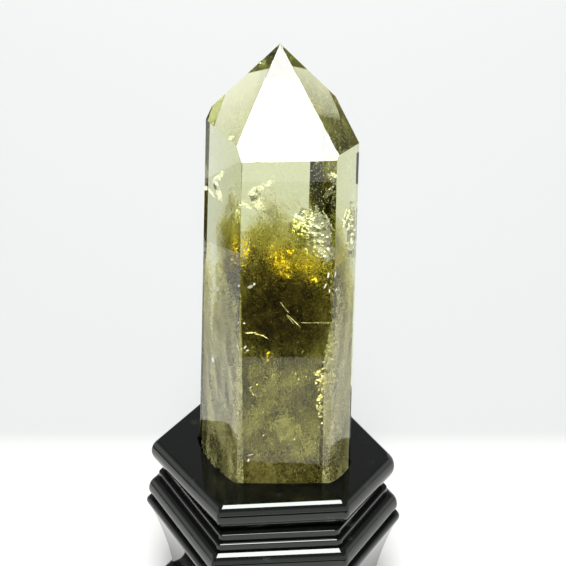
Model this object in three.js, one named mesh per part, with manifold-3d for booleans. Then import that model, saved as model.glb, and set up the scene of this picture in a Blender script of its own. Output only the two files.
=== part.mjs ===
// A clear, six-sided quartz crystal point standing in a stepped, lacquered wooden stand.
// Millimetres, +Z up. The origin is the middle of the object's footprint, on the surface it stands on.
// Azimuths are in degrees, counter-clockwise from +X as seen from above, and -90 is the front.

import * as THREE from 'three';
import { ConvexGeometry } from 'three/addons/geometries/ConvexGeometry.js';
import { mergeVertices } from 'three/addons/utils/BufferGeometryUtils.js';
import Module from 'manifold-3d';

// ---------------------------------------------------------------- driving dimensions

// Heights of the boards that the stand is glued up from, bottom to top.
const PLINTH_HEIGHT = 9;
const APRON_HEIGHT = 32;
const SHOULDER_HEIGHT = 8.4;
const WAIST_HEIGHT = 5.9;
const SEAT_BOARD_HEIGHT = 10.7;
const STAND_HEIGHT = PLINTH_HEIGHT + APRON_HEIGHT + SHOULDER_HEIGHT + WAIST_HEIGHT + SEAT_BOARD_HEIGHT;

// The seat recess in the top board.
const SEAT_DEPTH = 8;
const SEAT_CLEARANCE = 0.5;

// How far the side walls of the recess bulge outward at their middle, in the order of BODY_FACES.
const SEAT_BULGES = [0.3, 1.2, 1.5, 1.5, 1.5, 2.3];

// The crystal: its apex, measured from the stand's top and from the crystal's own upright axis.
const APEX = new THREE.Vector3(-0.9, 2.7, 147.4);

// Body faces: azimuth of the outward normal, lean towards the axis in degrees, and distance from the
// axis where the face passes the stand's top. They go round from the front, counter-clockwise.
const BODY_FACES = [
  { azimuth: -90, lean: 1.2, distance: 23 },
  { azimuth: -31.6, lean: 0.4, distance: 25.6 },
  { azimuth: 28, lean: -0.85, distance: 15.1 },
  { azimuth: 90, lean: 0.4, distance: 19.8 },
  { azimuth: 145, lean: 2.35, distance: 26 },
  { azimuth: 208.2, lean: 1.9, distance: 24.7 },
];

// Point faces: all six pass through the apex, and the lean is measured from upright.
const POINT_FACES = [
  { azimuth: -90.8, lean: 38.2 },
  { azimuth: -29, lean: 43.6 },
  { azimuth: 30, lean: 40.2 },
  { azimuth: 90, lean: 38.2 },
  { azimuth: 150, lean: 42.3 },
  { azimuth: 209.9, lean: 40 },
];

// One steep extra face takes off the back right shoulder of the point. It passes through this corner.
const STEEP_FACE = { azimuth: 30, lean: 7.2 };
const STEEP_FACE_CORNER = new THREE.Vector3(23.8, -8.8, 118.9);

// Plan of the top board, and of the boards under it: each side's azimuth and its distance from the axis.
// The stand is cut to suit its crystal by hand, so no two sides match.
const SEAT_BOARD_SIDES = [
  { azimuth: -85.6, distance: 34.8 },
  { azimuth: -32.5, distance: 35.3 },
  { azimuth: 27.6, distance: 29.8 },
  { azimuth: 92, distance: 34.8 },
  { azimuth: 148.7, distance: 39.2 },
  { azimuth: 212, distance: 36.8 },
];
const LOWER_SIDES = [
  { azimuth: -86, distance: 38.4 },
  { azimuth: -30.3, distance: 35.6 },
  { azimuth: 28, distance: 29.6 },
  { azimuth: 90, distance: 36 },
  { azimuth: 150, distance: 40.1 },
  { azimuth: 208.4, distance: 38.3 },
];

// Radius of each upright corner, starting with the one between the first and the second side.
const SEAT_BOARD_CORNERS = [2.5, 4, 3, 3, 1.5, 1.5];
const LOWER_CORNERS = [2.5, 2.5, 3, 3, 1.5, 1.5];
const CORNER_STEPS = 6;
const CURVE_STEPS = 7;
const SEAT_WALL_STEPS = 8;

// Limits for working out where faces meet.
const PARALLEL_LIMIT = 1e-6;
const CORNER_TOLERANCE = 1e-4;

// ---------------------------------------------------------------- materials

const quartz = new THREE.MeshStandardMaterial({
  name: 'clear smoky quartz',
  color: 0xd8d6a8,
  roughness: 0.02,
  metalness: 0,
  transparent: true,
  opacity: 0.45,
});

function lacquer(name) {
  return new THREE.MeshStandardMaterial({ name, color: 0x0b0b0a, roughness: 0.08, metalness: 0 });
}

// ---------------------------------------------------------------- the crystal

function facePlane({ azimuth, lean }, point) {
  const normal = new THREE.Vector3(1, 0, 0);
  normal.applyAxisAngle(new THREE.Vector3(0, 1, 0), -THREE.MathUtils.degToRad(lean));
  normal.applyAxisAngle(new THREE.Vector3(0, 0, 1), THREE.MathUtils.degToRad(azimuth));
  return new THREE.Plane().setFromNormalAndCoplanarPoint(normal, point);
}

function pointOnSide({ azimuth, distance }) {
  const angle = THREE.MathUtils.degToRad(azimuth);
  return new THREE.Vector3(distance * Math.cos(angle), distance * Math.sin(angle), 0);
}

// The point where three planes meet, or null where two of them are nearly parallel.
function meetingPoint(a, b, c) {
  const across = new THREE.Vector3().crossVectors(b.normal, c.normal);
  const scale = a.normal.dot(across);
  if (Math.abs(scale) < PARALLEL_LIMIT) {
    return null;
  }
  const point = across.multiplyScalar(-a.constant);
  point.addScaledVector(new THREE.Vector3().crossVectors(c.normal, a.normal), -b.constant);
  point.addScaledVector(new THREE.Vector3().crossVectors(a.normal, b.normal), -c.constant);
  return point.divideScalar(scale);
}

// A convex solid from its faces: its corners are the meeting points that no other face cuts off.
function cornersOf(planes) {
  const corners = [];
  for (let i = 0; i < planes.length; i += 1) {
    for (let j = i + 1; j < planes.length; j += 1) {
      for (let k = j + 1; k < planes.length; k += 1) {
        const point = meetingPoint(planes[i], planes[j], planes[k]);
        const inside = point && planes.every((plane) => plane.distanceToPoint(point) < CORNER_TOLERANCE);
        if (inside && corners.every((corner) => corner.distanceTo(point) > CORNER_TOLERANCE)) {
          corners.push(point);
        }
      }
    }
  }
  return corners;
}

function crystalPoint() {
  const planes = BODY_FACES.map((face) => facePlane(face, pointOnSide(face)));
  planes.push(...POINT_FACES.map((face) => facePlane(face, APEX)));
  planes.push(facePlane(STEEP_FACE, STEEP_FACE_CORNER));
  planes.push(new THREE.Plane(new THREE.Vector3(0, 0, -1), -SEAT_DEPTH));
  return new THREE.Mesh(new ConvexGeometry(cornersOf(planes)), quartz);
}

// ---------------------------------------------------------------- the stand's boards

// The corner where two sides meet, once both have moved outward by the given distance.
function sideCorner(a, b, outward) {
  const along = THREE.MathUtils.degToRad(a.azimuth);
  const next = THREE.MathUtils.degToRad(b.azimuth);
  const reachA = a.distance + outward;
  const reachB = b.distance + outward;
  const turn = Math.sin(next - along);
  return new THREE.Vector2(
    (reachA * Math.sin(next) - reachB * Math.sin(along)) / turn,
    (reachB * Math.cos(along) - reachA * Math.cos(next)) / turn,
  );
}

// The plan outline with rounded corners, moved outward by the moulding's offset at one height.
function planOutline(sides, radii, outward) {
  const points = [];
  sides.forEach((side, index) => {
    const next = sides[(index + 1) % sides.length];
    const radius = radii[index];
    const centre = sideCorner(side, next, outward - radius);
    const turn = THREE.MathUtils.euclideanModulo(next.azimuth - side.azimuth, 360);
    for (let step = 0; step <= CORNER_STEPS; step += 1) {
      const angle = THREE.MathUtils.degToRad(side.azimuth + (turn * step) / CORNER_STEPS);
      const spoke = new THREE.Vector2(Math.cos(angle), Math.sin(angle));
      points.push(spoke.multiplyScalar(radius).add(centre));
    }
  });
  return points;
}

// A board whose edge carries a moulding: the profile's x is the offset from the plan and its y the height.
function mouldedBoard(sides, radii, profile) {
  const rings = profile.getPoints(CURVE_STEPS).map((point) => ({
    outline: planOutline(sides, radii, point.x),
    z: point.y,
  }));
  const count = rings[0].outline.length;
  const positions = rings.flatMap(({ outline, z }) => outline.flatMap((point) => [point.x, point.y, z]));
  const indices = [];
  for (let ring = 0; ring < rings.length - 1; ring += 1) {
    for (let step = 0; step < count; step += 1) {
      const here = ring * count + step;
      const beside = ring * count + ((step + 1) % count);
      indices.push(here, beside, beside + count);
      indices.push(here, beside + count, here + count);
    }
  }
  const top = (rings.length - 1) * count;
  for (const [a, b, c] of THREE.ShapeUtils.triangulateShape(rings[0].outline, [])) {
    indices.push(c, b, a);
  }
  for (const [a, b, c] of THREE.ShapeUtils.triangulateShape(rings.at(-1).outline, [])) {
    indices.push(top + a, top + b, top + c);
  }
  const geometry = new THREE.BufferGeometry();
  geometry.setAttribute('position', new THREE.Float32BufferAttribute(positions, 3));
  geometry.setIndex(indices);
  return geometry;
}

// Thick rounded edge: a broad soft slope above the widest line and a long undercut below it.
function seatBoardProfile() {
  const profile = new THREE.Path();
  profile.moveTo(-1.3, 0);
  profile.bezierCurveTo(0.3, 1, 2.1, 3.6, 2.1, 5.9);
  profile.bezierCurveTo(2.1, 7.9, 1.2, 9.8, -0.2, SEAT_BOARD_HEIGHT);
  return profile;
}

// Two square fillets, one on the other, each with its upper edge eased.
function waistProfile() {
  const lowerStep = 3;
  const lowerEase = 0.8;
  const upperInset = -1.4;
  const upperEase = 0.3;
  const profile = new THREE.Path();
  profile.moveTo(0, 0);
  profile.lineTo(0, lowerStep - lowerEase);
  profile.quadraticCurveTo(0, lowerStep, -lowerEase, lowerStep);
  profile.lineTo(upperInset, lowerStep);
  profile.lineTo(upperInset, WAIST_HEIGHT - upperEase);
  profile.quadraticCurveTo(upperInset, WAIST_HEIGHT, upperInset - upperEase, WAIST_HEIGHT);
  return profile;
}

// A quarter-round shoulder over a hollow undercut.
function shoulderProfile() {
  const profile = new THREE.Path();
  profile.moveTo(2, 0);
  profile.bezierCurveTo(2.7, 0.9, 3.4, 2.2, 3.4, 3.6);
  profile.bezierCurveTo(3.4, 5.6, 2.3, 7.8, 0.8, SHOULDER_HEIGHT);
  return profile;
}

// A round bead along the top edge, and below it a long hollow that draws in towards the plinth.
function apronProfile() {
  const beadHeight = 3.4;
  const beadBottom = APRON_HEIGHT - beadHeight;
  const profile = new THREE.Path();
  profile.moveTo(-3.2, 0);
  profile.bezierCurveTo(-2.4, 10, 0.2, 20, 3.4, beadBottom);
  profile.bezierCurveTo(4.5, beadBottom + 0.6, 4.6, APRON_HEIGHT - 0.6, 3.4, APRON_HEIGHT);
  return profile;
}

// A plain foot board with a small round below and a larger one above.
function plinthProfile() {
  const lowerRound = 1;
  const upperRound = 2.4;
  const profile = new THREE.Path();
  profile.moveTo(-lowerRound, 0);
  profile.quadraticCurveTo(0, 0, 0, lowerRound);
  profile.lineTo(0, PLINTH_HEIGHT - upperRound);
  profile.quadraticCurveTo(0, PLINTH_HEIGHT, -upperRound, PLINTH_HEIGHT);
  return profile;
}

// ---------------------------------------------------------------- the seat recess

// The body of the recess: the crystal's foot with clearance, each wall bulging a little outward.
function seatCutter() {
  const foot = BODY_FACES.map(({ azimuth, lean, distance }) => ({
    azimuth,
    distance: distance + SEAT_DEPTH * Math.tan(THREE.MathUtils.degToRad(Math.max(lean, 0))),
  }));
  const corners = foot.map((side, index) => sideCorner(foot.at(index - 1), side, SEAT_CLEARANCE));
  const shape = new THREE.Shape();
  shape.moveTo(corners[0].x, corners[0].y);
  foot.forEach(({ azimuth }, index) => {
    const start = corners[index];
    const end = corners[(index + 1) % corners.length];
    const angle = THREE.MathUtils.degToRad(azimuth);
    // A quadratic curve's middle lies halfway between its chord and its control point.
    const control = start.clone().lerp(end, 0.5);
    control.addScaledVector(new THREE.Vector2(Math.cos(angle), Math.sin(angle)), 2 * SEAT_BULGES[index]);
    shape.quadraticCurveTo(control.x, control.y, end.x, end.y);
  });
  const geometry = new THREE.ExtrudeGeometry(shape, {
    depth: 2 * SEAT_DEPTH,
    curveSegments: SEAT_WALL_STEPS,
    bevelEnabled: false,
  });
  return geometry.translate(0, 0, SEAT_BOARD_HEIGHT - SEAT_DEPTH);
}

const wasm = await Module();
wasm.setup();

function toManifold(geometry) {
  const bare = geometry.clone();
  bare.deleteAttribute('normal');
  bare.deleteAttribute('uv');
  const merged = mergeVertices(bare);
  const vertProperties = Float32Array.from(merged.attributes.position.array);
  const triVerts = Uint32Array.from(merged.index.array);
  return new wasm.Manifold(new wasm.Mesh({ numProp: 3, vertProperties, triVerts }));
}

function fromManifold(solid) {
  const mesh = solid.getMesh();
  const geometry = new THREE.BufferGeometry();
  geometry.setAttribute('position', new THREE.BufferAttribute(mesh.vertProperties, mesh.numProp));
  geometry.setIndex(new THREE.BufferAttribute(mesh.triVerts, 1));
  return geometry;
}

function seatBoardGeometry() {
  const board = mouldedBoard(SEAT_BOARD_SIDES, SEAT_BOARD_CORNERS, seatBoardProfile());
  return fromManifold(toManifold(board).subtract(toManifold(seatCutter())));
}

// ---------------------------------------------------------------- assembly

const LOWER_BOARDS = [
  { name: 'stand_plinth', height: PLINTH_HEIGHT, profile: plinthProfile() },
  { name: 'stand_apron', height: APRON_HEIGHT, profile: apronProfile() },
  { name: 'stand_shoulder', height: SHOULDER_HEIGHT, profile: shoulderProfile() },
  { name: 'stand_waist', height: WAIST_HEIGHT, profile: waistProfile() },
];

// Everything here is placed about the crystal's own upright axis.
function standAndCrystal() {
  const assembly = new THREE.Group();
  let bottom = 0;
  for (const { name, height, profile } of LOWER_BOARDS) {
    const board = new THREE.Mesh(mouldedBoard(LOWER_SIDES, LOWER_CORNERS, profile), lacquer(name));
    board.name = name;
    board.position.z = bottom;
    assembly.add(board);
    bottom += height;
  }
  const seatBoard = new THREE.Mesh(seatBoardGeometry(), lacquer('stand_seat_board'));
  seatBoard.name = 'stand_seat_board';
  seatBoard.position.z = bottom;
  assembly.add(seatBoard);

  const crystal = crystalPoint();
  crystal.name = 'crystal_point';
  crystal.position.z = STAND_HEIGHT;
  assembly.add(crystal);
  return assembly;
}

// The crystal's axis isn't over the middle of the footprint, so the assembly is moved to centre the whole.
const model = new THREE.Group();
model.name = 'crystal_point_on_stand';
const assembly = standAndCrystal();
const middle = new THREE.Box3().setFromObject(assembly).getCenter(new THREE.Vector3());
assembly.position.set(-middle.x, -middle.y, 0);
model.add(assembly);

export default model;
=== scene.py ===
# %% [markdown]
# # A smoky quartz point on its black lacquered stand
# This lesson dresses a fixed CAD model of a polished crystal and its wooden stand. The crystal is clear
# at the tip and holds a smoky golden cloud, a few bright fractures and thousands of fine fibres. The
# stand is black lacquer, which is mostly seen by what it mirrors. So the lesson starts with the room and
# the light, then makes the crystal, then what is sealed in it, and last the boards of the stand.

import math

import bmesh
import bpy
import numpy as np
from mathutils import Matrix, Vector, noise


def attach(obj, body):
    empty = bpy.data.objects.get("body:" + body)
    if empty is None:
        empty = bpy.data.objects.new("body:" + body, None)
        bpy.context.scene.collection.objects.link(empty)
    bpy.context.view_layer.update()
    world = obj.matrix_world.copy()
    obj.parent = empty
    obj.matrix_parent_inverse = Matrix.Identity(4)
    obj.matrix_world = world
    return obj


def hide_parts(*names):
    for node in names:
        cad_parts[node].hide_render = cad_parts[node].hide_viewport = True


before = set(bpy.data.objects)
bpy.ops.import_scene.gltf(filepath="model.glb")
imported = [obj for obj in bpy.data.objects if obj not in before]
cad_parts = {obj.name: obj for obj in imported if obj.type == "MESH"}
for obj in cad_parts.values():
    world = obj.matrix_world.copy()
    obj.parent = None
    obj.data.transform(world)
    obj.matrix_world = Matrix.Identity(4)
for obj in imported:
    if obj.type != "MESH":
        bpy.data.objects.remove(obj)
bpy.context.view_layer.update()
MM = 0.001

# %% [markdown]
# ## Helpers
# Colours are written as sRGB hex, as a paint maker would give them, and one function turns them into the
# linear numbers that a shader needs. One function adds a node with its settings and its links, so that
# each material reads as a short list.


# %% Colour and node helpers
def linear(hex_colour):
    """The linear RGBA of an sRGB colour written as hex."""
    channels = [int(hex_colour[i : i + 2], 16) / 255 for i in (0, 2, 4)]
    straight = [c / 12.92 if c <= 0.04045 else ((c + 0.055) / 1.055) ** 2.4 for c in channels]
    return (*straight, 1.0)


def add_node(tree, kind, inputs=None, links=None, **settings):
    """Adds a node, sets its properties and sockets, and links its inputs from other nodes' outputs."""
    node = tree.nodes.new(kind)
    for name, value in settings.items():
        setattr(node, name, value)
    for name, value in (inputs or {}).items():
        node.inputs[name].default_value = value
    for name, output in (links or {}).items():
        tree.links.new(output, node.inputs[name])
    return node


def new_material(name):
    """An empty node material and its output node."""
    material = bpy.data.materials.new(name)
    material.use_nodes = True
    material.node_tree.nodes.clear()
    return material, add_node(material.node_tree, "ShaderNodeOutputMaterial")


def colour_stops(node, stops):
    """Fills a colour ramp node with (place, hex colour) stops."""
    ramp = node.color_ramp
    while len(ramp.elements) < len(stops):
        ramp.elements.new(0.5)
    for stop, (place, colour) in zip(ramp.elements, stops):
        stop.position = place
        stop.color = linear(colour)


def connect(tree, output, node, socket):
    """Links an output to a node's input by name."""
    tree.links.new(output, node.inputs[socket])


# %% [markdown]
# A piece is built in a bmesh and finished at the origin, so that a pattern on Object coordinates stays
# put. The CAD meshes are loose triangles and are never changed: a copy of one is joined into whole faces
# before it is worked on.

# %% Mesh helpers
JOIN_DISTANCE = 0.001 * MM
FLAT_WITHIN = math.radians(0.2)


def new_piece(name, bm, material, smooth=False):
    """Makes a finished piece at the origin out of a bmesh, which it frees."""
    mesh = bpy.data.meshes.new(name)
    bm.to_mesh(mesh)
    bm.free()
    mesh.materials.append(material)
    mesh.polygons.foreach_set("use_smooth", [smooth] * len(mesh.polygons))
    piece = bpy.data.objects.new(name, mesh)
    bpy.context.scene.collection.objects.link(piece)
    return piece


def merged_copy(node):
    """A bmesh of a CAD node with its loose triangles joined into whole faces."""
    bm = bmesh.new()
    bm.from_mesh(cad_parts[node].data)
    bmesh.ops.remove_doubles(bm, verts=bm.verts, dist=JOIN_DISTANCE)
    bmesh.ops.dissolve_limit(bm, angle_limit=FLAT_WITHIN, verts=bm.verts, edges=bm.edges)
    return bm


# %% [markdown]
# ## The room
# Black lacquer and polished stone show the room in their faces, so the room is part of the finish: a
# pale table, a pale wall low down, and a dim ceiling. The camera looks down on the stand from the front,
# through a long lens. Places in the room are in metres.

# %% Camera
LENS_MM = 95.4
SENSOR_MM = 36.0
TARGET = Vector((3.91, 2.07, 130.58)) * MM
EYE = Vector((3.91, -436.23, 371.19)) * MM
camera_data = bpy.data.cameras.new("camera")
camera_data.lens = LENS_MM
camera_data.sensor_width = SENSOR_MM
camera = bpy.data.objects.new("camera", camera_data)
camera.location = EYE
camera.rotation_euler = (TARGET - EYE).to_track_quat("-Z", "Y").to_euler()
bpy.context.scene.collection.objects.link(camera)
bpy.context.scene.camera = camera
print("camera looks down by", round(math.degrees(math.asin((EYE - TARGET).normalized().z)), 1))

# %% [markdown]
# One large floor serves as the table and, further back, as the wall behind it. A matt white board has no
# mirror of its own, and gives the eye only the soft shadow of the stand. Its colour has light and shade
# painted in: brightest where the stand rests, a painted shade just behind, and painted light far away for
# the key's falloff.

# %% Table and far wall as one floor
FLOOR_SIZE = 6.0
TABLE_BACK = 0.085
WALL_FAR = 0.75
floor_material, floor_out = new_material("matt_white_board_painted_light")
tree = floor_material.node_tree
coords = add_node(tree, "ShaderNodeTexCoord")
split = add_node(tree, "ShaderNodeSeparateXYZ", links={"Vector": coords.outputs["Object"]})
far = add_node(
    tree,
    "ShaderNodeMapRange",
    {"From Min": TABLE_BACK, "From Max": WALL_FAR},
    {"Value": split.outputs["Y"]},
)
# This ramp is painted light: painted shade just behind the table, and painted light far back that makes up
# for the key's falloff.
shade = add_node(tree, "ShaderNodeValToRGB", links={"Fac": far.outputs["Result"]})
colour_stops(shade, ((0.0, "D2D2D0"), (0.03, "B7B9B8"), (1.0, "CFD1D0")))
floor_shader = add_node(
    tree,
    "ShaderNodeBsdfPrincipled",
    {"Roughness": 0.8, "Specular IOR Level": 0.2},
    {"Base Color": shade.outputs["Color"]},
)
connect(tree, floor_shader.outputs["BSDF"], floor_out, "Surface")
bm = bmesh.new()
bmesh.ops.create_grid(bm, x_segments=1, y_segments=1, size=FLOOR_SIZE / 2)
floor = new_piece("floor", bm, floor_material)
print("floor is", FLOOR_SIZE, "m square")

# %% [markdown]
# The walls and the ceiling could be modelled, but a world that fades by height gives the same
# reflections without any walls to walk round. It is pale up to a little above eye level, and dim overhead.

# %% World
WALL_LIGHT = 0.9
CEILING_LIGHT = 0.22
WALL_TOP = 0.2
CEILING_START = 0.42
world = bpy.data.worlds.new("pale_room")
bpy.context.scene.world = world
world.use_nodes = True
tree = world.node_tree
tree.nodes.clear()
sky = add_node(tree, "ShaderNodeTexCoord")
height = add_node(tree, "ShaderNodeSeparateXYZ", links={"Vector": sky.outputs["Generated"]})
fade = add_node(
    tree,
    "ShaderNodeMapRange",
    {"From Min": WALL_TOP, "From Max": CEILING_START, "To Min": WALL_LIGHT, "To Max": CEILING_LIGHT},
    {"Value": height.outputs["Z"]},
)
glow = add_node(
    tree,
    "ShaderNodeBackground",
    {"Color": linear("FBFCFC")},
    {"Strength": fade.outputs["Result"]},
)
world_out = add_node(tree, "ShaderNodeOutputWorld", links={"Surface": glow.outputs["Background"]})
print("world fades from", WALL_LIGHT, "to", CEILING_LIGHT)


# %% [markdown]
# The key is one tall softbox high in front. It is the white sheet that the crystal's front point face and
# the rims of the boards mirror. A weak lamp on the table stands in for the light that the white board
# bounces up, and another brightens the wall. Neither of those shows in a mirror or through the crystal.


# %% Light helpers
def area_light(name, place, aim, size, radiance):
    """A soft rectangular light that gives the radiance asked for whatever its size."""
    data = bpy.data.lights.new(name, "AREA")
    data.shape = "RECTANGLE"
    data.size, data.size_y = size
    data.energy = radiance * math.pi * size[0] * size[1]
    light = bpy.data.objects.new(name, data)
    light.location = place
    light.rotation_euler = (Vector(aim) - Vector(place)).to_track_quat("-Z", "Y").to_euler()
    bpy.context.scene.collection.objects.link(light)
    return light


def polar(azimuth, elevation, distance, centre):
    """A place seen from centre in that direction; azimuth 0 is in front and 90 to the right."""
    a, e = math.radians(azimuth), math.radians(elevation)
    way = Vector((math.sin(a) * math.cos(e), -math.cos(a) * math.cos(e), math.sin(e)))
    return Vector(centre) + way * distance


# %% Lights
KEY_AIM = (0.0, 0.0, 0.16)
KEY_ELEVATION = 62.5
KEY_DISTANCE = 1.3
key_place = polar(0, KEY_ELEVATION, KEY_DISTANCE, KEY_AIM)
key = area_light("key_softbox", key_place, KEY_AIM, size=(0.50, 1.04), radiance=20.0)
bounce = area_light("table_bounce", (0.0, 0.0, 0.002), (0.0, 0.0, 1.0), size=(1.4, 1.4), radiance=1.2)
backdrop = area_light("backdrop_light", (0.0, 1.5, 1.3), (0.0, 1.5, 0.0), size=(2.8, 2.2), radiance=1.4)
for light in (bounce, backdrop):
    light.visible_camera = False
    light.visible_glossy = False
    light.visible_transmission = False

# %% [markdown]
# A crystal is only as lively as the dark things round it. Past the table's edge the room is unlit, and
# the facets turn to that dark at some angles. Dark flags laid on the table give it: cloth that throws no
# light back. Only mirror and bent rays see them, so the table itself stays white.

# %% Dark room beyond the table's edges
TABLE_FRONT = -0.224
FLAG_HEIGHT = 0.001
FLAGS = {
    "front": (-0.15, TABLE_FRONT - 0.22, 0.15, TABLE_FRONT),
    "left": (-0.40, -0.28, -0.21, -0.06),
    "right": (0.09, -0.42, 0.32, -0.15),
    "back_left": (-0.45, 0.05, -0.27, 0.23),
}
dark_material, dark_out = new_material("unlit_room")
tree = dark_material.node_tree
dark_shader = add_node(
    tree,
    "ShaderNodeBsdfPrincipled",
    {"Base Color": linear("0C0C0C"), "Roughness": 1.0},
)
connect(tree, dark_shader.outputs["BSDF"], dark_out, "Surface")
for side, (left, near, right, distant) in FLAGS.items():
    bm = bmesh.new()
    bmesh.ops.create_grid(bm, x_segments=1, y_segments=1, size=0.5)
    bmesh.ops.scale(bm, vec=(right - left, distant - near, 1.0), verts=bm.verts)
    middle = ((left + right) / 2, (near + distant) / 2, FLAG_HEIGHT)
    bmesh.ops.translate(bm, vec=middle, verts=bm.verts)
    flag = new_piece(f"dark_flag_{side}", bm, dark_material)
    flag.visible_camera = False
    flag.visible_diffuse = False
    flag.visible_shadow = False
print("dark flags:", len(FLAGS))

# %% [markdown]
# Light crosses many borders inside the crystal, in and out of the zones and off the back faces, so a ray
# is followed for up to 40 turns. Caustics are off, because they would only add noise.

# %% Light paths
LONGEST_PATH = 40
scene = bpy.context.scene
scene.view_settings.view_transform = "Standard"
scene.cycles.use_denoising = True
scene.cycles.max_bounces = LONGEST_PATH
scene.cycles.transmission_bounces = LONGEST_PATH
scene.cycles.glossy_bounces = 16
scene.cycles.diffuse_bounces = 3
scene.cycles.transparent_max_bounces = LONGEST_PATH
scene.cycles.caustics_refractive = False
scene.cycles.caustics_reflective = False
print("longest light path:", LONGEST_PATH, "turns")

# %% [markdown]
# ## The crystal
# Polished quartz bends light with an index of 1.544 and loses very little of it. A faint absorption
# gives the yellow-grey cast that grows with the path. The edges between polished facets are never
# knife-sharp, so each gets a bevel of a fifth of a millimetre that catches a thin line of light. The
# crystal casts no shadow of its own, so the key reaches what is sealed in it, as it does through quartz.

# %% Crystal material
QUARTZ_IOR = 1.544
QUARTZ_CAST = 22.0
quartz, quartz_out = new_material("polished_clear_quartz")
tree = quartz.node_tree
quartz_shader = add_node(
    tree,
    "ShaderNodeBsdfPrincipled",
    {"Base Color": (1, 1, 1, 1), "Roughness": 0.0, "IOR": QUARTZ_IOR, "Transmission Weight": 1.0},
)
quartz_tint = add_node(
    tree,
    "ShaderNodeVolumeAbsorption",
    {"Color": linear("E2E78C"), "Density": QUARTZ_CAST},
)
connect(tree, quartz_shader.outputs["BSDF"], quartz_out, "Surface")
connect(tree, quartz_tint.outputs["Volume"], quartz_out, "Volume")
print("quartz bends light by", QUARTZ_IOR)

# %% Crystal piece
FACET_ANGLE = math.radians(2.0)
EDGE_BEVEL = 0.22 * MM
bm = merged_copy("crystal_point")
sharp = [edge for edge in bm.edges if edge.calc_face_angle(0.0) > FACET_ANGLE]
bmesh.ops.bevel(
    bm,
    geom=sharp,
    offset=EDGE_BEVEL,
    segments=2,
    affect="EDGES",
    profile=0.5,
    material=-1,
    clamp_overlap=True,
)
bmesh.ops.recalc_face_normals(bm, faces=bm.faces)
crystal = new_piece("crystal", bm, quartz)
crystal.visible_shadow = False
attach(crystal, "root")
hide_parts("crystal_point")
print("crystal has", len(crystal.data.polygons), "faces")

# %% [markdown]
# ## What is sealed in the crystal
# Everything sealed in the crystal has to stay under its skin, and much of it is placed by how far under
# the skin it lies. The crystal is convex, so the distance to the nearest of its face planes is enough.
# Places are given in millimetres from the crystal's upright axis, with height above the stand's top.

# %% Where the crystal's skin is
AXIS = Vector((3.9135, 2.0692, 66.0)) * MM
SKIN_PASSES = 3
bm = merged_copy("crystal_point")
SKIN_NORMALS = np.array([face.normal for face in bm.faces])
SKIN_REACH = np.array([(face.verts[0].co - AXIS).dot(face.normal) for face in bm.faces]) / MM
bm.free()
print("the skin has", len(SKIN_REACH), "flat faces")


def at(x, y, z):
    """A place in the crystal: millimetres from its axis, and above the stand's top."""
    return AXIS + Vector((x, y, z)) * MM


def under_skin(points):
    """How far points are under the crystal's nearest face, in millimetres, negative outside."""
    return (SKIN_REACH - points @ SKIN_NORMALS.T).min(axis=1)


def keep_under(verts, margin):
    """Moves the vertices that are too near the skin to that margin under it, in millimetres."""
    places = np.array([(vert.co - AXIS) / MM for vert in verts])
    for _ in range(SKIN_PASSES):
        for normal, reach in zip(SKIN_NORMALS, SKIN_REACH):
            short = np.maximum(0.0, places @ normal + margin - reach)
            places -= short[:, None] * normal
    for vert, place in zip(verts, places):
        vert.co = at(*place)


# %% [markdown]
# ## Colour zones
# Smoky and golden quartz is coloured in zones: the same clear quartz, but it swallows light, and most of
# all blue light. A scattering volume could show them, but it is slow and grainy. A zone has no surface of
# its own, so each one is a closed body whose index is 1.0 against the quartz around it, with nothing but
# absorption inside. Zones that overlap add up, which gives the cloud a soft edge.


# %% Smooth noise
OCTAVES = 3


def swell(place):
    """A few octaves of smooth noise, which roughens zones and tears the outlines of sheets."""
    return noise.fractal(place, 1.0, 2.0, OCTAVES)


# %% Zone material
def zone_material(name, hex_colour, density):
    """Coloured quartz that only absorbs: no mirror at its border, because its index is the same."""
    material, out = new_material(name)
    tree = material.node_tree
    shader = add_node(
        tree,
        "ShaderNodeBsdfPrincipled",
        {"Base Color": (1, 1, 1, 1), "Roughness": 0.0, "IOR": 1.0, "Transmission Weight": 1.0},
    )
    tint = add_node(
        tree,
        "ShaderNodeVolumeAbsorption",
        {"Color": linear(hex_colour), "Density": density},
    )
    connect(tree, shader.outputs["BSDF"], out, "Surface")
    connect(tree, tint.outputs["Volume"], out, "Volume")
    return material


# Golden swallows blue and gives the deep yellow glow; smoky dims all colours towards brown; amber warms
# the lower front.
golden_zone = zone_material("golden_quartz_zone", "D2CC1C", 76.0)
smoky_zone = zone_material("smoky_quartz_zone", "90862A", 30.0)
amber_zone = zone_material("amber_quartz_zone", "CCC634", 48.0)
print("zone materials:", golden_zone.name, smoky_zone.name, amber_zone.name)


# %% Zone shape
ZONE_BUMPS = 9.0
ZONE_ROUGHNESS = 3.0


def zone(name, centre, radii, square, margin, material, seed):
    """A colour zone: a ball, squared off for a power over 2, stretched, roughened, kept under the skin."""
    bm = bmesh.new()
    bmesh.ops.create_icosphere(bm, subdivisions=5, radius=1.0)
    shift = Vector((seed * 3.7, seed * 1.3, seed * 2.1))
    for vert in bm.verts:
        ray = vert.co.normalized()
        reach = sum(abs(c) ** square for c in ray) ** (-1 / square)
        spread = Vector([c * reach * r for c, r in zip(ray, radii)])
        bump = swell(spread / ZONE_BUMPS + shift) * ZONE_ROUGHNESS
        vert.co = at(*centre) + (spread + ray * bump) * MM
    keep_under(bm.verts, margin)
    bmesh.ops.recalc_face_normals(bm, faces=bm.faces)
    piece = new_piece(name, bm, material, smooth=True)
    piece.visible_shadow = False
    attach(piece, "root")
    return piece


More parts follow.
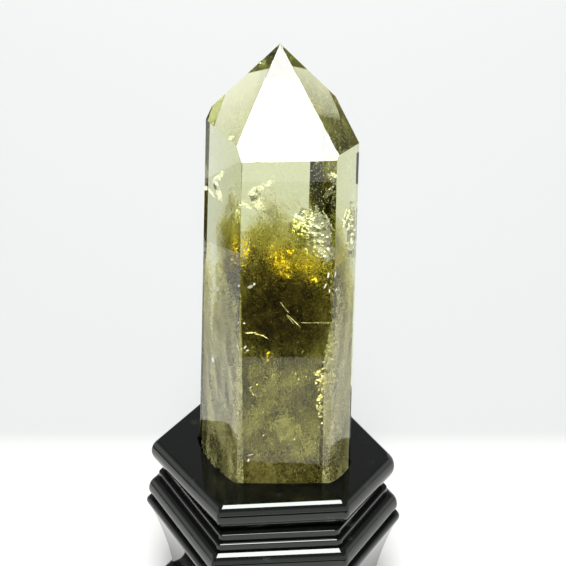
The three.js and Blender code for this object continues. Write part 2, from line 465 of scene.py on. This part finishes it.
# %% Zones, each with its centre, radii, squareness, margin under the skin and material
ZONES = {
    "zone_golden_outer": ((-0.5, 0.5, 36.0), (18.0, 17.0, 58.0), 2.0, 1.2, golden_zone),
    "zone_golden_middle": ((-0.5, 0.0, 36.0), (15.5, 14.5, 54.0), 2.0, 2.4, golden_zone),
    "zone_golden_inner": ((0.0, 0.0, 36.0), (12.5, 12.0, 50.0), 2.0, 3.5, golden_zone),
    "zone_smoky_1": ((1.0, -12.0, 63.5), (18.0, 8.5, 18.0), 2.3, 0.5, smoky_zone),
    "zone_smoky_2": ((0.5, -12.5, 63.5), (15.5, 7.5, 14.0), 2.2, 0.9, smoky_zone),
    "zone_smoky_3": ((-0.5, -12.5, 63.5), (13.5, 6.5, 11.5), 2.1, 1.4, smoky_zone),
    "zone_smoky_4": ((-1.5, -12.0, 63.5), (11.5, 6.0, 8.5), 2.0, 2.0, smoky_zone),
    "zone_amber_1": ((0.5, -13.0, 22.0), (19.0, 9.0, 36.0), 3.5, 0.4, amber_zone),
    "zone_amber_2": ((0.5, -13.5, 22.0), (16.5, 7.0, 32.0), 3.0, 0.9, amber_zone),
    "zone_amber_3": ((1.0, -13.5, 12.0), (14.5, 6.0, 30.0), 3.0, 1.5, amber_zone),
}
for index, (name, (centre, radii, square, margin, material)) in enumerate(ZONES.items()):
    zone(name, centre, radii, square, margin, material, index + 1)
print("zones:", len(ZONES))

# %% [markdown]
# ## Haze
# The milky look comes from countless fibres and gas tubes finer than a hair. They run mostly up the
# crystal and lie in wisps. Each is one thin leaf of a few tenths of a millimetre, drawn coarser than it
# really is so that it shows, and the leaves are joined in a few meshes. Hair curves would be lost on
# export, and a volume would be grainy.

# %% Haze materials
STAND_TOP = 66 * MM
CLOUD_TOP = 166 * MM


def fibre_material(name, stops):
    """Matt milky fibre, whose colour changes with height from the stand's top to the top of the cloud."""
    material, out = new_material(name)
    tree = material.node_tree
    coords = add_node(tree, "ShaderNodeTexCoord")
    split = add_node(tree, "ShaderNodeSeparateXYZ", links={"Vector": coords.outputs["Object"]})
    rise = add_node(
        tree,
        "ShaderNodeMapRange",
        {"From Min": STAND_TOP, "From Max": CLOUD_TOP},
        {"Value": split.outputs["Z"]},
    )
    tone = add_node(tree, "ShaderNodeValToRGB", links={"Fac": rise.outputs["Result"]})
    colour_stops(tone, stops)
    shader = add_node(
        tree,
        "ShaderNodeBsdfPrincipled",
        {"Roughness": 0.6, "Specular IOR Level": 0.2},
        {"Base Color": tone.outputs["Color"]},
    )
    connect(tree, shader.outputs["BSDF"], out, "Surface")
    return material


# The haze is dull tan at the foot, milky yellow up to the dark band, olive in it and nearly white above.
HAZE_TONES = (
    (0.0, "B2A860"),
    (0.06, "BCB26A"),
    (0.1, "E2DE84"),
    (0.42, "E6E280"),
    (0.56, "C8C060"),
    (0.78, "CCC044"),
    (0.88, "DCD670"),
    (1.0, "F0EED0"),
)
# The veil near the side faces is paler, because it has less golden quartz round it.
VEIL_TONES = ((0.0, "EEEAA0"), (0.4, "F6F2B8"), (0.62, "E4E090"))
haze = fibre_material("milky_gas_fibre", HAZE_TONES)
veil = fibre_material("pale_gas_veil", VEIL_TONES)
print("fibre materials:", haze.name, veil.name)


# %% [markdown]
# How thick the haze is at a place is a number, and from 1 up it is as thick as it can be. It is built up
# from simple shapes: a column with a domed top, soft at its edge, with a gap where the brown smoke lies
# and another in front of the large fracture. Random waves of a given size break it into wisps and streaks.

# %% Random waves
WAVES = 28
TURNS_PER_BUMP = 2.2


def ripples(points, sizes, seed):
    """A smooth random field with a spread of about 1, whose bumps have about these sizes in millimetres."""
    rng = np.random.default_rng(seed)
    ways = rng.normal(0, 1, (WAVES, 3)) * TURNS_PER_BUMP / np.array(sizes)
    starts = rng.uniform(0, 2 * math.pi, WAVES)
    return np.cos(points @ ways.T + starts).sum(axis=1) * math.sqrt(2 / WAVES)


def in_ball(points, centre, radii):
    """The square of how far out points lie in a stretched ball: 0 at its centre, 1 on its surface."""
    return (((points - np.array(centre)) / np.array(radii)) ** 2).sum(axis=1)


# %% The haze column
COLUMN_HEIGHTS = (0, 14, 30, 95)
COLUMN_WIDTHS = (21.0, 19.0, 16.5, 16.0)
COLUMN_FLATTER = 1.0
DOME_FOOT = 58.0
DOME_RISE = 36.0
COLUMN_RADIUS = 15.0
EDGE_WAVER = 1.3
EDGE_LOBES = (7, 7, 9)
EDGE_FADE = 5.0


def column_level(points):
    """1 inside the column and 0 outside, with a soft edge that wavers."""
    x, y, z = points.T
    wide = np.interp(z, COLUMN_HEIGHTS, COLUMN_WIDTHS)
    dome = np.maximum(0.0, z - DOME_FOOT) / DOME_RISE
    out = np.sqrt((x / wide) ** 2 + (y / (wide - COLUMN_FLATTER)) ** 2 + dome**2)
    edge = (1.0 - out) * COLUMN_RADIUS
    edge += EDGE_WAVER * ripples(points, EDGE_LOBES, seed=21)
    return np.clip(0.5 + edge / EDGE_FADE, 0.0, 1.0) ** 2


# %% Streaks, and where the haze is thin
STREAK_TOP = 78.0
STREAK_FADE = 14.0
LEAST_STREAK = 0.2
STREAK_SIZES = (2.0, 2.0, 8)
STREAK_CONTRAST = 0.6
WISP_SIZES = (5, 5, 7)
WISP_CONTRAST = 0.5
SMOKE_MIDDLE = 64.0
SMOKE_HALF = 14.0
SMOKE_DEPTH = (-6.0, 5.0)
WINDOW = (9.8, 12.5, 82.5)
WINDOW_RADIUS = 8.5
WINDOW_CLEARING = 0.96
SIGHT_SLOPE = 0.33


def streak_level(points):
    """Upright streaks and wisps, strong low down and faint near the top."""
    low = np.clip((STREAK_TOP - points[:, 2]) / STREAK_FADE, LEAST_STREAK, 1.0)
    streaks = STREAK_CONTRAST * low * ripples(points, STREAK_SIZES, seed=22)
    wisps = WISP_CONTRAST * ripples(points, WISP_SIZES, seed=23)
    return np.exp(streaks + wisps)


def smoke_gap(points):
    """0 in the layer where the brown smoke lies, at the front of the dark band, and 1 elsewhere."""
    x, y, z = points.T
    band = np.exp(-(((z - SMOKE_MIDDLE) / SMOKE_HALF) ** 4))
    start, fade = SMOKE_DEPTH
    return 1.0 - band * np.clip((start - y) / fade, 0.0, 1.0)


def window_gap(points):
    """Nearly 0 along the line of sight to the large fracture, and 1 elsewhere."""
    x, y, z = points.T
    gap_z = z - WINDOW[2] - SIGHT_SLOPE * (WINDOW[1] - y)
    beside = -(((x - WINDOW[0]) / WINDOW_RADIUS) ** 4)
    return 1.0 - WINDOW_CLEARING * np.exp(beside - (gap_z / WINDOW_RADIUS) ** 4)


# %% The haze as a whole
HEIGHTS = (0, 14, 30, 44, 52, 62, 74, 82, 87, 95)
LEVELS = (0.14, 0.34, 0.44, 0.40, 0.26, 0.12, 0.12, 0.24, 0.60, 0.75)
BODY_SHARE = 0.6
HAZE_GAIN = 2.0
HALO = 0.0015
HALO_TOP = 122
FIBRE_TOP = 62


def haze_level(points):
    """How thick the milky haze is at each point: the column in streaks, and a trace of haze around it."""
    z = points[:, 2]
    soft = column_level(points)
    body = np.interp(z, HEIGHTS, LEVELS) * soft * smoke_gap(points) * window_gap(points) * BODY_SHARE
    return HAZE_GAIN * (body * streak_level(points) + HALO * (z < HALO_TOP))


def fibre_level(points):
    """The same haze without its thin top, where no long fibres show."""
    return haze_level(points) * (points[:, 2] < FIBRE_TOP)


# %% [markdown]
# Just under the side faces lies a paler veil of the same fibres. It fades upwards, and it thins at the
# foot. On the right it keeps clear of the front face, which shows the dark band there.

# %% The veil under the side faces
FLANK_TOP = 76.0
FLANK_FADE = 24.0
FOOT_FADE = 16.0
LEAST_AT_FOOT = 0.35
FLANK_X = 13.5
RIGHT_HEIGHTS = (48, 60)
RIGHT_LIMITS = (FLANK_X, 15.5)
FLANK_DEPTH = 3.5
VEIL_SHARE = 0.5


def flank_level(points):
    """How thick the pale veil is that lies just under the side faces, low down."""
    x, y, z = points.T
    low = np.clip((FLANK_TOP - z) / FLANK_FADE, 0.0, 1.0) * np.clip(z / FOOT_FADE, LEAST_AT_FOOT, 1.0)
    low *= (x < -FLANK_X) | (x > np.interp(z, RIGHT_HEIGHTS, RIGHT_LIMITS))
    thick = np.exp(-((under_skin(points) / FLANK_DEPTH) ** 2)) * low
    streaks = 0.8 * ripples(points, (3, 3, 7), seed=27)
    wisps = 0.4 * ripples(points, (8, 8, 12), seed=28)
    return thick * np.exp(streaks + wisps) * VEIL_SHARE


# %% [markdown]
# The leaves are scattered by trial: random points are kept with a chance equal to the level there. Each
# kept point becomes one triangle that stands more or less upright and faces the light more often than
# not. So many alike shapes are made straight from arrays.

# %% Scattered leaves
LEAF_FACING = (0.0, -0.8, 0.5)
WHOLE = ((-26, -24, -6), (24, 24, 122))
TRIES = 400000
LEAF_MARGIN = 0.7
LENGTH_SPREAD = 0.4
WIDTH_SPREAD = 0.3


def leaf_places(rng, count, level, box):
    """That many random points in the box, under the skin and denser where the level is higher."""
    kept = np.empty((0, 3))
    while len(kept) < count:
        tries = rng.uniform(*box, (TRIES, 3))
        tries = tries[under_skin(tries) > LEAF_MARGIN]
        kept = np.concatenate([kept, tries[rng.random(len(tries)) < level(tries)]])
    return kept[:count]


def scattered_leaves(name, count, size, slant, level, material, seed, box=WHOLE):
    """Joins many small leaves of a length and width in one piece. slant is how far they lean."""
    rng = np.random.default_rng(seed)
    kept = leaf_places(rng, count, level, box)
    up = rng.normal(0, (slant, slant, 1.0), (count, 3))
    up /= np.linalg.norm(up, axis=1)[:, None]
    side = np.cross(up, rng.normal(LEAF_FACING, 1.0, (count, 3)))
    side /= np.linalg.norm(side, axis=1)[:, None]
    up *= size[0] * rng.lognormal(0, LENGTH_SPREAD, (count, 1)) / 2
    side *= size[1] * rng.lognormal(0, WIDTH_SPREAD, (count, 1)) / 2
    corners = np.stack([kept - up - side, kept + side - up, kept + up], axis=1).reshape(-1, 3)
    corners = corners * MM + np.array(AXIS)
    mesh = bpy.data.meshes.new(name)
    mesh.from_pydata(corners, [], np.arange(3 * count).reshape(-1, 3))
    mesh.materials.append(material)
    piece = bpy.data.objects.new(name, mesh)
    bpy.context.scene.collection.objects.link(piece)
    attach(piece, "root")
    print(name, count, "leaves")
    return piece


# %% Haze pieces
HAZE_SPECK = (0.34, 0.17)
VEIL_SPECK = (0.46, 0.23)
LONG_FIBRE = (1.1, 0.14)
for index in range(3):
    scattered_leaves(f"haze_{index + 1}", 175000, HAZE_SPECK, 0.35, haze_level, haze, 31 + index)
scattered_leaves("haze_flanks", 125000, VEIL_SPECK, 0.35, flank_level, veil, 35)
scattered_leaves("haze_fibres", 70000, LONG_FIBRE, 0.25, fibre_level, haze, 34)

# %% [markdown]
# ## Brown smoke
# Across the middle, right behind the front face, lies a dark band of brown smoke. Absorption alone would
# leave it clear and glassy. So it also gets dark leaves in blots, which soak up the light like soot.

# %% Smoke material
SMOKE_GRAIN = 3 * MM
smoke, smoke_out = new_material("brown_smoke_film")
tree = smoke.node_tree
coords = add_node(tree, "ShaderNodeTexCoord")
grain = add_node(
    tree,
    "ShaderNodeTexNoise",
    {"Scale": 1 / SMOKE_GRAIN, "Detail": 3.0},
    {"Vector": coords.outputs["Object"]},
)
smoke_tone = add_node(tree, "ShaderNodeValToRGB", links={"Fac": grain.outputs["Fac"]})
colour_stops(smoke_tone, ((0.35, "2A2308"), (0.65, "6C6018")))
smoke_shader = add_node(
    tree,
    "ShaderNodeBsdfPrincipled",
    {"Roughness": 0.8, "Specular IOR Level": 0.1},
    {"Base Color": smoke_tone.outputs["Color"]},
)
connect(tree, smoke_shader.outputs["BSDF"], smoke_out, "Surface")

# %% Smoke piece
SLAB_CENTRE = (0.5, -13.0, 63.2)
SLAB_RADII = (17.0, 8.0, 13.2)
LOBE_CENTRE = (-8.0, -12.0, 75.0)
LOBE_RADII = (8.5, 8.0, 10.0)
SLAB_THICKNESS = 14.0
LOBE_THICKNESS = 5.0
SMOKE_WAVER = 1.8
SMOKE_FADE = 9.0
EDGE_SHARE = 0.35
SMOKE_POWER = 1.5
SMOKE_SHARE = 0.5
SMOKE_SPECK = (0.36, 0.2)
SMOKE_BOX = ((-20, -23, 38), (20, 2, 92))


def smoke_level(points):
    """How thick the brown smoke is: a slab and a lobe on its upper left, in soft blots and streaks."""
    slab = in_ball(points, SLAB_CENTRE, SLAB_RADII)
    lobe = in_ball(points, LOBE_CENTRE, LOBE_RADII)
    in_slab = (1.0 - np.sqrt(slab)) * SLAB_THICKNESS
    in_lobe = (1.0 - np.sqrt(lobe)) * LOBE_THICKNESS
    edge = np.maximum(in_slab, in_lobe)
    edge += SMOKE_WAVER * ripples(points, (4, 4, 5), seed=24)
    blots = 0.9 * ripples(points, (3.0, 3.0, 4.0), seed=25)
    streaks = 0.4 * ripples(points, (1.2, 1.2, 3.0), seed=26)
    body = np.clip(EDGE_SHARE + edge / SMOKE_FADE, 0.0, 1.0) ** SMOKE_POWER
    return body * np.exp(blots + streaks) * SMOKE_SHARE


scattered_leaves("smoke", 50000, SMOKE_SPECK, 0.6, smoke_level, smoke, 41, SMOKE_BOX)

# %% [markdown]
# ## Fractures
# A healed fracture is a crumpled film of air inside the stone. It mirrors the light in white and yellow
# flashes with dark creases between them. Each one is a thin crumpled sheet with a torn outline. The film
# is part mirror, for the flash, and part matt, for the frosted places that stay pale at every angle.

# %% Fracture materials
FROST_SIZE = 0.8 * MM
FROST_RANGE = 0.15


def film(name, hex_colour, metallic, roughness):
    """A thin mirror film: metallic for the flash, the rest matt for the frosted parts."""
    material, out = new_material(name)
    tree = material.node_tree
    coords = add_node(tree, "ShaderNodeTexCoord")
    frost = add_node(
        tree,
        "ShaderNodeTexNoise",
        {"Scale": 1 / FROST_SIZE, "Detail": 2.0},
        {"Vector": coords.outputs["Object"]},
    )
    matt = add_node(
        tree,
        "ShaderNodeMapRange",
        {"From Min": 0.35, "From Max": 0.65, "To Min": roughness, "To Max": roughness + FROST_RANGE},
        {"Value": frost.outputs["Fac"]},
    )
    shader = add_node(
        tree,
        "ShaderNodeBsdfPrincipled",
        {"Base Color": linear(hex_colour), "Metallic": metallic},
        {"Roughness": matt.outputs["Result"]},
    )
    connect(tree, shader.outputs["BSDF"], out, "Surface")
    return material


# Silvery is the sharpest mirror, for the large fracture; white and the two golds are softer sparks.
fracture = film("silvery_fracture_film", "FFFFFA", 0.6, 0.08)
flake = film("white_flake_film", "FFFFFA", 0.3, 0.25)
pale_golden = film("pale_golden_film", "FFF69A", 0.5, 0.25)
golden = film("golden_fracture_film", "FFE22A", 0.6, 0.3)
print("films:", fracture.name, flake.name, pale_golden.name, golden.name)


# %% [markdown]
# A sheet starts as a flat grid. Noise decides which of its faces tear away, ridged noise folds it, and
# then it is turned to face its own way and moved to its place.

# %% Crumpled sheets
MOST_CELLS = 90
FEWEST_CELLS = 3
TEAR_SIZE = 2.2
TEAR_BIAS = 0.25
SHEET_MARGIN = 0.25


def torn_faces(sheet, size, torn, shift):
    """The faces of a unit grid that lie outside a torn oval outline."""
    gone = []
    for face in sheet.faces:
        u, v = face.calc_center_median().xy
        edge = 1.0 - (2 * u) ** 2 - (2 * v) ** 2
        tear = swell(Vector((u * size[0] / TEAR_SIZE, v * size[1] / TEAR_SIZE, 0)) + shift)
        if edge + tear * torn < TEAR_BIAS * torn:
            gone.append(face)
    return gone


def crumple(bm, centre, facing, roll, size, relief, torn, seed, fold_size=1.2, cell=0.22):
    """Adds one crumpled sheet to a bmesh. facing is its azimuth and tilt, size its length and height."""
    made = bmesh.new()
    cells = [max(FEWEST_CELLS, min(MOST_CELLS, round(s / cell))) for s in size]
    bmesh.ops.create_grid(made, x_segments=cells[0], y_segments=cells[1], size=0.5)
    shift = Vector((seed * 5.1, seed * 2.3, seed * 0.7))
    bmesh.ops.delete(made, geom=torn_faces(made, size, torn, shift), context="FACES")
    for vert in made.verts:
        x, y = vert.co.x * size[0], vert.co.y * size[1]
        fold = noise.ridged_multi_fractal(Vector((x, y, 0)) / fold_size + shift, 1.0, 2.0, 3, 1.0, 2.0)
        vert.co = Vector((x, y, (fold - 1.0) * relief))
    azimuth, tilt = facing
    turn = (
        Matrix.Translation(at(*centre))
        @ Matrix.Rotation(math.radians(azimuth), 4, "Z")
        @ Matrix.Rotation(math.radians(90 - tilt), 4, "X")
        @ Matrix.Rotation(math.radians(roll), 4, "Z")
        @ Matrix.Scale(MM, 4)
    )
    bmesh.ops.transform(made, matrix=turn, verts=made.verts)
    if made.verts:
        keep_under(made.verts, SHEET_MARGIN)
    mesh = bpy.data.meshes.new("sheet")
    made.to_mesh(mesh)
    made.free()
    bm.from_mesh(mesh)
    bpy.data.meshes.remove(mesh)


def sealed(name, bm, material):
    """Finishes an inclusion as a piece that belongs to the crystal."""
    piece = new_piece(name, bm, material)
    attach(piece, "root")
    print(name, len(piece.data.polygons), "faces")
    return piece


# %% [markdown]
# The largest fracture hangs near the back on the right, just above the cloud. It is a broad sheet, with
# two smaller ones that lean off it and two thin ribs at its left edge. Each row gives a sheet's centre,
# facing, roll, size, relief, tearing, size of folds and size of cells, in millimetres and degrees.

# %% The large healed fracture
LARGE_SHEETS = (
    ((9.7, 12.8, 82.0), (-50, 4), -14, (24.0, 18.0), 1.6, 0.7, 2.6, 0.5),
    ((11.5, 9.5, 79.5), (-40, 30), 20, (11.0, 11.0), 1.0, 0.9, 2.0, 0.45),
    ((7.5, 14.5, 85.0), (-35, 22), -40, (10.0, 6.0), 0.8, 0.8, 1.8, 0.4),
    ((3.6, 14.5, 85.6), (-10, 30), 82, (8.5, 1.6), 0.3, 0.4, 1.5, 0.3),
    ((5.6, 15.0, 86.0), (-10, 40), 70, (6.0, 1.0), 0.3, 0.4, 1.5, 0.3),
)
bm = bmesh.new()
for index, (centre, facing, roll, size, relief, torn, fold, cell) in enumerate(LARGE_SHEETS):
    crumple(bm, centre, facing, roll, size, relief, torn, index + 1, fold, cell)
sealed("fracture_large", bm, fracture)

# %% [markdown]
# A white flake with wings hangs in the clear quartz on the upper left, and small chips are dotted about.
# They are tilted by about 35 degrees, which throws the light of the key forwards. Fine cracks show as
# pale hairs, which are the same sheets cut very narrow.

# %% White flakes and chips
WINGED_FLAKE = (
    ((-7.3, 17.2, 98.2), (4, 34), 27, (10.0, 2.8), 0.6, 0.9, 1.0, 0.28),
    ((-9.3, 17.2, 96.2), (4, 34), 50, (4.6, 3.0), 0.5, 0.6, 0.9, 0.28),
    ((-8.1, 17.0, 93.2), (6, 30), -62, (9.0, 4.4), 0.6, 0.5, 1.0, 0.28),
    ((-7.0, 17.0, 91.2), (6, 30), -50, (4.0, 2.4), 0.4, 0.5, 1.0, 0.28),
    ((-11.3, 17.2, 91.8), (0, 32), -22, (6.8, 1.9), 0.4, 0.6, 0.8, 0.25),
)
CHIPS = (
    ((-10.4, -14.5, 72.6), (0, 34), 20, (2.0, 1.2), 0.3, 0.4),
    ((-9.2, -14.5, 73.6), (10, 30), 60, (1.0, 0.8), 0.2, 0.4),
    ((14.4, -17.0, 77.4), (10, 35), 80, (3.0, 0.5), 0.3, 1.0),
    ((13.4, -17.0, 73.6), (20, 20), 58, (2.6, 0.5), 0.3, 1.1),
    ((14.9, -16.5, 71.6), (0, 45), 95, (1.8, 0.4), 0.3, 1.0),
    ((14.0, -16.0, 30.6), (10, 35), 84, (4.2, 1.0), 0.3, 1.2),
    ((-19.0, -3.2, 64.8), (-40, 35), 60, (2.6, 1.6), 0.3, 0.9),
    ((-17.6, -3.4, 63.2), (-40, 35), 20, (2.0, 1.0), 0.3, 0.9),
    ((-23.6, -4.6, 37.6), (-40, 35), 80, (4.5, 1.4), 0.3, 0.7),
    ((-12.6, -18.0, 60.4), (0, 35), 20, (0.8, 0.6), 0.1, 0.4),
    ((-12.4, -17.0, 51.0), (0, 35), 55, (1.4, 0.5), 0.2, 0.4),
    ((-11.6, -17.0, 49.8), (0, 35), 30, (1.2, 0.4), 0.2, 0.4),
    ((2.0, -17.0, 12.8), (0, 35), 40, (1.0, 0.5), 0.2, 0.5),
    ((3.8, -17.0, 15.0), (0, 35), 70, (1.2, 0.5), 0.2, 0.5),
    ((-11.0, -17.0, 8.6), (0, 35), 10, (2.6, 0.7), 0.3, 1.2),
    ((-11.8, -17.0, 6.2), (0, 35), 70, (1.6, 0.6), 0.3, 1.2),
    ((19.1, -13.6, 42.5), (40, 35), 80, (4.0, 1.0), 0.3, 0.7),
    ((17.4, -16.4, 18.5), (40, 35), 80, (2.5, 0.8), 0.3, 0.7),
)
CHIP_FOLD = 0.9
CHIP_CELL = 0.2
bm = bmesh.new()
for index, (centre, facing, roll, size, relief, torn, fold, cell) in enumerate(WINGED_FLAKE):
    crumple(bm, centre, facing, roll, size, relief, torn, index + 61, fold, cell)
for index, (centre, facing, roll, size, relief, torn) in enumerate(CHIPS):
    crumple(bm, centre, facing, roll, size, relief, torn, index + 11, CHIP_FOLD, CHIP_CELL)
sealed("flakes_white", bm, flake)

# %% Pale hairs
HAIRS = (
    ((0.6, -19.6, 66.6), (0, 50), -58, (5.6, 0.12), 0.06, 0.15),
    ((3.4, -19.6, 62.0), (0, 48), -50, (6.4, 0.16), 0.06, 0.15),
    ((2.2, -19.4, 62.4), (0, 50), -56, (5.0, 0.10), 0.06, 0.15),
    ((10.6, -19.8, 61.2), (0, 55), 0, (13.0, 0.09), 0.03, 0.15),
    ((-10.5, -19.2, 57.3), (0, 37), 4, (3.8, 0.42), 0.12, 0.3),
    ((-7.7, -19.2, 56.6), (0, 37), -16, (3.6, 0.34), 0.12, 0.3),
    ((-5.8, -19.2, 55.7), (0, 37), -34, (2.0, 0.20), 0.10, 0.3),
)
bm = bmesh.new()
for index, (centre, facing, roll, size, relief, torn) in enumerate(HAIRS):
    crumple(bm, centre, facing, roll, size, relief, torn, index + 81, CHIP_FOLD, CHIP_CELL)
sealed("hairs_pale", bm, pale_golden)

# %% [markdown]
# ## Flashes
# Golden flashes sit along the top of the dark band, and paler ones lower down on the right. Each cluster
# is a spray of tiny crumpled chips round one place. Most of them are tilted so that they throw the key
# at a viewer in front, and the rest stay dark, as in a real break.

# %% Clusters, each with its centre, spread, number of chips and length of a chip
CLUSTERS = (
    ((-0.3, -15.6, 81.2), (2.0, 1.6, 2.5), 56, 0.9),
    ((-2.4, -15.6, 85.4), (1.6, 1.6, 1.8), 14, 0.7),
    ((2.4, -15.5, 85.4), (1.4, 1.0, 0.4), 8, 0.9),
    ((1.2, -15.6, 77.2), (1.0, 1.0, 0.6), 7, 0.9),
    ((9.8, -15.7, 75.6), (1.2, 1.0, 0.6), 8, 0.9),
    ((7.5, -13.0, 79.6), (5.0, 3.0, 2.2), 7, 0.5),
    ((-12.4, -12.9, 84.4), (1.4, 1.2, 4.2), 24, 0.8),
    ((-5.0, -16.3, 47.4), (0.5, 1.0, 1.6), 8, 0.7),
)
LOOSE_CHIPS = ((0.0, 0.0, 80.0), (9.0, 8.0, 5.0), 24, 0.5)
PALE_CLUSTERS = (
    ((13.0, -17.4, 38.4), (1.7, 0.9, 4.6), 70, 1.0),
    ((12.4, -17.2, 28.0), (1.0, 0.9, 5.6), 50, 0.9),
    ((6.6, -18.0, 39.6), (2.6, 1.0, 0.8), 8, 0.6),
    ((-9.0, -17.0, 33.0), (3.0, 1.5, 5.0), 14, 0.5),
    ((0.0, -4.0, 34.0), (11.0, 9.0, 16.0), 120, 0.5),
)
print("flashes:", sum(count for _, _, count, _ in (*CLUSTERS, LOOSE_CHIPS, *PALE_CLUSTERS)))

# %% Flashes
GLINT_TILT = 37
TILT_SPREAD = 12
TURN_SPREAD = 16
CROWDING = 0.6
CHIP_SHAPE = (1.0, 0.5)
CHIP_RELIEF = 0.12
CHIP_TEARING = 0.5
NOISE_RANGE = 50
rng = np.random.default_rng(5)


def flashes(name, clusters, material):
    """Joins loose crumpled chips, most of them tilted to throw the light forwards, in clusters."""
    bm = bmesh.new()
    for centre, spread, count, length in clusters:
        for _ in range(count):
            place = tuple(np.array(centre) + rng.normal(0, CROWDING, 3) * spread)
            facing = (rng.normal(0, TURN_SPREAD), rng.normal(GLINT_TILT, TILT_SPREAD))
            size = tuple(rng.lognormal(0.0, LENGTH_SPREAD, 2) * length * CHIP_SHAPE)
            roll = rng.uniform(0, 180)
            seed = rng.uniform(0, NOISE_RANGE)
            crumple(bm, place, facing, roll, size, CHIP_RELIEF, CHIP_TEARING, seed)
    return sealed(name, bm, material)


flashes("flashes_golden", (*CLUSTERS, LOOSE_CHIPS), golden)
flashes("flashes_pale", PALE_CLUSTERS, pale_golden)

# %% [markdown]
# Round the flashes the quartz glitters with specks too small to tell apart. They are a thin golden dust
# of leaves in a soft ball round each cluster, so that no flash looks stuck on.

# %% Golden dust
DUST_BOX = ((-16, -21, 24), (17, -9, 92))
DUST_REACH = 1.2
DUST_MARGIN = 0.6
DUST_SHARE = 0.012
DUST_SPECK = (0.3, 0.16)


def dust_level(points):
    """How thick the golden dust is: soft balls round the clusters of golden flashes."""
    level = np.zeros(len(points))
    for centre, spread, count, _ in CLUSTERS:
        reach = np.array(spread) * DUST_REACH + DUST_MARGIN
        level += DUST_SHARE * count**0.5 * np.exp(-in_ball(points, centre, reach))
    return level


scattered_leaves("dust_golden", 5500, DUST_SPECK, 0.5, dust_level, golden, 51, DUST_BOX)

# %% [markdown]
# ## The lacquered boards
# Each board of the stand is dyed wood under many coats of black lacquer, rubbed to a mirror. The colour
# is nearly nothing: the eye reads the bright edges, the slow ripple that the brush left and a little
# dust. The ripple is a bump far too shallow to model. The dust is drawn coarser than it is, so that it
# shows, and it gathers in patches: one noise places the specks and a larger one says where they may lie.

# %% Lacquer: the ripple and the dust
RIPPLE_SIZE = 9 * MM
RIPPLE_DEPTH = 0.05 * MM
DUST_SIZE = 0.22 * MM
DUST_PATCH = 6 * MM
SPECK_START = 1.29
SPECK_FULL = 1.36
DUST_COVER = 0.4
lacquer, lacquer_out = new_material("black_gloss_lacquer")
tree = lacquer.node_tree
coords = add_node(tree, "ShaderNodeTexCoord")
ripple = add_node(
    tree,
    "ShaderNodeTexNoise",
    {"Scale": 1 / RIPPLE_SIZE, "Detail": 5.0, "Roughness": 0.6},
    {"Vector": coords.outputs["Object"]},
)
wave = add_node(
    tree,
    "ShaderNodeBump",
    {"Strength": 0.5, "Distance": RIPPLE_DEPTH},
    {"Height": ripple.outputs["Fac"]},
)
specks = add_node(
    tree,
    "ShaderNodeTexNoise",
    {"Scale": 1 / DUST_SIZE, "Detail": 1.0},
    {"Vector": coords.outputs["Object"]},
)
patches = add_node(
    tree,
    "ShaderNodeTexNoise",
    {"Scale": 1 / DUST_PATCH, "Detail": 2.0},
    {"Vector": coords.outputs["Object"]},
)
both = add_node(
    tree,
    "ShaderNodeMath",
    None,
    {0: specks.outputs["Fac"], 1: patches.outputs["Fac"]},
    operation="ADD",
)
dust = add_node(
    tree,
    "ShaderNodeMapRange",
    {"From Min": SPECK_START, "From Max": SPECK_FULL, "To Max": DUST_COVER},
    {"Value": both.outputs["Value"]},
)
print("dust specks of", DUST_SIZE / MM, "mm")

# %% Lacquer: the coat
LACQUER_IOR = 1.6
coat = add_node(
    tree,
    "ShaderNodeMix",
    {"A": linear("060706"), "B": linear("62665F")},
    {"Factor": dust.outputs["Result"]},
    data_type="RGBA",
)
lacquer_shader = add_node(
    tree,
    "ShaderNodeBsdfPrincipled",
    {"Roughness": 0.045, "IOR": LACQUER_IOR, "Specular Tint": linear("F2F8F2")},
    {"Base Color": coat.outputs["Result"], "Normal": wave.outputs["Normal"]},
)
connect(tree, lacquer_shader.outputs["BSDF"], lacquer_out, "Surface")

# %% [markdown]
# The boards are the CAD mouldings themselves. Their rounds are shaded smooth, and the wide flat faces
# must stay flat, or a mirror finish would show them bulging. So the edges beside a level face are kept
# sharp, and the normals elsewhere are weighted by the size of the faces.

# %% Boards
BOARDS = ("stand_plinth", "stand_apron", "stand_shoulder", "stand_waist", "stand_seat_board")
SMOOTH_UNDER = math.radians(32.0)
LEVEL = 0.999
for node in BOARDS:
    bm = merged_copy(node)
    for edge in bm.edges:
        beside_flat = any(abs(face.normal.z) > LEVEL for face in edge.link_faces)
        edge.smooth = edge.calc_face_angle(0.0) < SMOOTH_UNDER and not beside_flat
    board = new_piece(node.replace("stand_", "board_"), bm, lacquer, smooth=True)
    flats = board.modifiers.new("flats_stay_flat", "WEIGHTED_NORMAL")
    flats.keep_sharp = True
    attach(board, "root")
    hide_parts(node)
    print(node, len(board.data.polygons), "faces")
